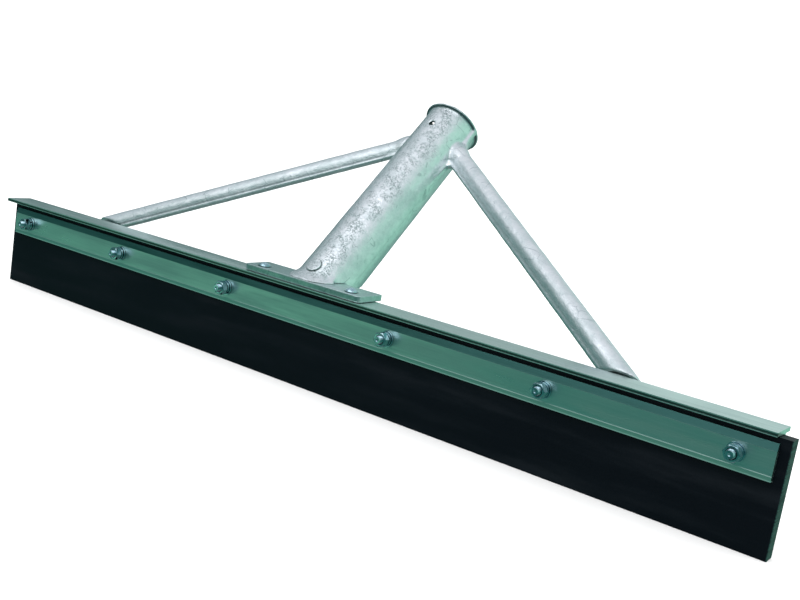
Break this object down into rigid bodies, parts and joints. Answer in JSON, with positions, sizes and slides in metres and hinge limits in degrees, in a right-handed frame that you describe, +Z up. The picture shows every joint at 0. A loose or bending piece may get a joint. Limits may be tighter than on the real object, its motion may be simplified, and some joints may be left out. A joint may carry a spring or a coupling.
{
  "type": "floor squeegee head",
  "caption": "Floor squeegee head: thick rubber blade clamped under a metal rail, with a braced, leaning tube socket for a long handle.",
  "frame": {"origin": "middle of the rubber blade's working edge, half way through its thickness", "axes": "+X along the blade, +Y towards the handle's side, +Z up from the working edge"},
  "size_m": [0.607, 0.1668, 0.1866],
  "materials": {
    "rubber": "matt, moulded",
    "strip_aluminium": "extruded, dull",
    "rail_aluminium": "extruded, dull",
    "galvanised_steel": "hot-dip galvanised, mottled",
    "zinc_plated_steel": "bright zinc plate"
  },
  "bodies": {
    "root": {"brace_tab_left": "galvanised_steel", "brace_tab_right": "galvanised_steel", "clamp_bolt_1": "zinc_plated_steel", "clamp_bolt_2": "zinc_plated_steel", "clamp_bolt_3": "zinc_plated_steel", "clamp_bolt_4": "zinc_plated_steel", "clamp_bolt_5": "zinc_plated_steel", "clamp_bolt_6": "zinc_plated_steel", "clamp_nut_1": "zinc_plated_steel", "clamp_nut_2": "zinc_plated_steel", "clamp_nut_3": "zinc_plated_steel", "clamp_nut_4": "zinc_plated_steel", "clamp_nut_5": "zinc_plated_steel", "clamp_nut_6": "zinc_plated_steel", "clamp_strip": "strip_aluminium", "flat_washer_1": "zinc_plated_steel", "flat_washer_2": "zinc_plated_steel", "flat_washer_3": "zinc_plated_steel", "flat_washer_4": "zinc_plated_steel", "flat_washer_5": "zinc_plated_steel", "flat_washer_6": "zinc_plated_steel", "foot_plate": "galvanised_steel", "foot_rivet_left": "zinc_plated_steel", "foot_rivet_right": "zinc_plated_steel", "frame_back": "galvanised_steel", "frame_front": "galvanised_steel", "rail": "rail_aluminium", "rear_washer_1": "zinc_plated_steel", "rear_washer_2": "zinc_plated_steel", "rear_washer_3": "zinc_plated_steel", "rear_washer_4": "zinc_plated_steel", "rear_washer_5": "zinc_plated_steel", "rear_washer_6": "zinc_plated_steel", "rubber_blade": "rubber", "socket_rivet": "galvanised_steel", "spring_washer_1": "zinc_plated_steel", "spring_washer_2": "zinc_plated_steel", "spring_washer_3": "zinc_plated_steel", "spring_washer_4": "zinc_plated_steel", "spring_washer_5": "zinc_plated_steel", "spring_washer_6": "zinc_plated_steel", "tab_rivet_left": "zinc_plated_steel", "tab_rivet_right": "zinc_plated_steel"}
  },
  "joints": []
}
